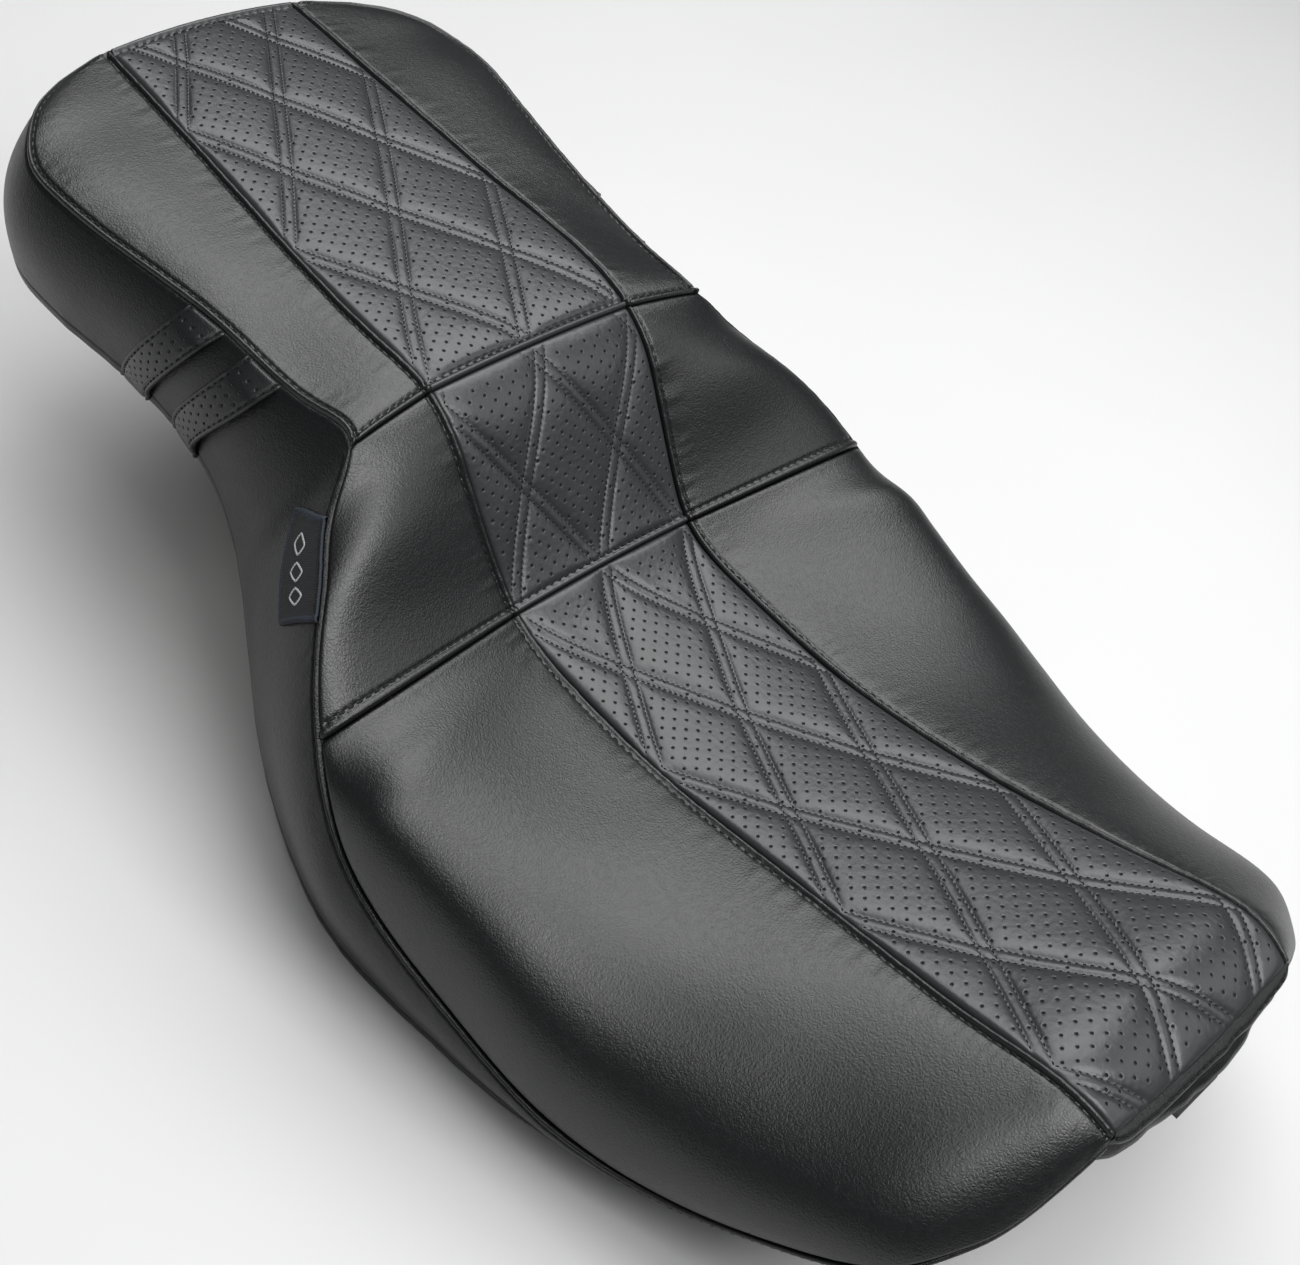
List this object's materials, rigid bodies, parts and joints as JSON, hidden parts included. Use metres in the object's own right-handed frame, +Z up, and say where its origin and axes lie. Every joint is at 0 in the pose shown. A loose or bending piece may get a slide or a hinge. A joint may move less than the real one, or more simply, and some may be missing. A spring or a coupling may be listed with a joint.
{
  "type": "motorcycle seat",
  "caption": "Two-up step motorcycle seat with a quilted perforated centre, smooth side panels, side skirts, straps and a mounting pan.",
  "frame": {"origin": "middle of the footprint, at the height of the lowest side hem", "axes": "+Z up, nose towards -Y, passenger end towards +Y, the rider's left hand towards +X"},
  "size_m": [0.3774, 0.7136, 0.2297],
  "materials": {
    "smooth_vinyl": "satin grained black vinyl",
    "perforated_vinyl": "satin grained black vinyl with small round perforations",
    "seat_foam": "open-cell moulded foam",
    "quilt_foam": "soft grey scrim foam",
    "pan_plastic": "moulded black, lightly textured",
    "carpet": "needle-punched black carpet",
    "zinc_steel": "zinc plated",
    "black_steel": "black powder coat",
    "rubber": "matt moulded rubber",
    "woven_label": "woven black tab with an overlocked border"
  },
  "bodies": {
    "root": {"base_pan": "pan_plastic", "carpet_liner": "carpet", "foam_bun": "seat_foam", "rider_centre_cover": "perforated_vinyl", "rider_quilt_foam": "quilt_foam", "rider_left_cover": "smooth_vinyl", "rider_right_cover": "smooth_vinyl", "lumbar_centre_cover": "perforated_vinyl", "lumbar_quilt_foam": "quilt_foam", "lumbar_left_cover": "smooth_vinyl", "lumbar_right_cover": "smooth_vinyl", "pillion_centre_cover": "perforated_vinyl", "pillion_quilt_foam": "quilt_foam", "pillion_left_cover": "smooth_vinyl", "pillion_right_cover": "smooth_vinyl", "skirt_left": "smooth_vinyl", "strap_front_left": "perforated_vinyl", "strap_rear_left": "perforated_vinyl", "tongue_rivet_left": "zinc_steel", "bracket_bolt_left": "zinc_steel", "bracket_washer_left": "zinc_steel", "bracket_nut_left": "zinc_steel", "bumper_front_left": "rubber", "bumper_middle_left": "rubber", "bumper_rear_left": "rubber", "hem_rivet_left_1": "zinc_steel", "hem_rivet_left_2": "zinc_steel", "hem_rivet_left_3": "zinc_steel", "hem_rivet_left_4": "zinc_steel", "hem_rivet_left_5": "zinc_steel", "hem_rivet_left_6": "zinc_steel", "hem_rivet_left_7": "zinc_steel", "skirt_right": "smooth_vinyl", "strap_front_right": "perforated_vinyl", "strap_rear_right": "perforated_vinyl", "tongue_rivet_right": "zinc_steel", "bracket_bolt_right": "zinc_steel", "bracket_washer_right": "zinc_steel", "bracket_nut_right": "zinc_steel", "bumper_front_right": "rubber", "bumper_middle_right": "rubber", "bumper_rear_right": "rubber", "hem_rivet_right_1": "zinc_steel", "hem_rivet_right_2": "zinc_steel", "hem_rivet_right_3": "zinc_steel", "hem_rivet_right_4": "zinc_steel", "hem_rivet_right_5": "zinc_steel", "hem_rivet_right_6": "zinc_steel", "hem_rivet_right_7": "zinc_steel", "nose_band": "smooth_vinyl", "woven_tab": "woven_label", "front_tongue": "zinc_steel", "rear_bracket": "zinc_steel", "rider_brace": "black_steel", "pillion_brace": "black_steel"}
  },
  "joints": []
}
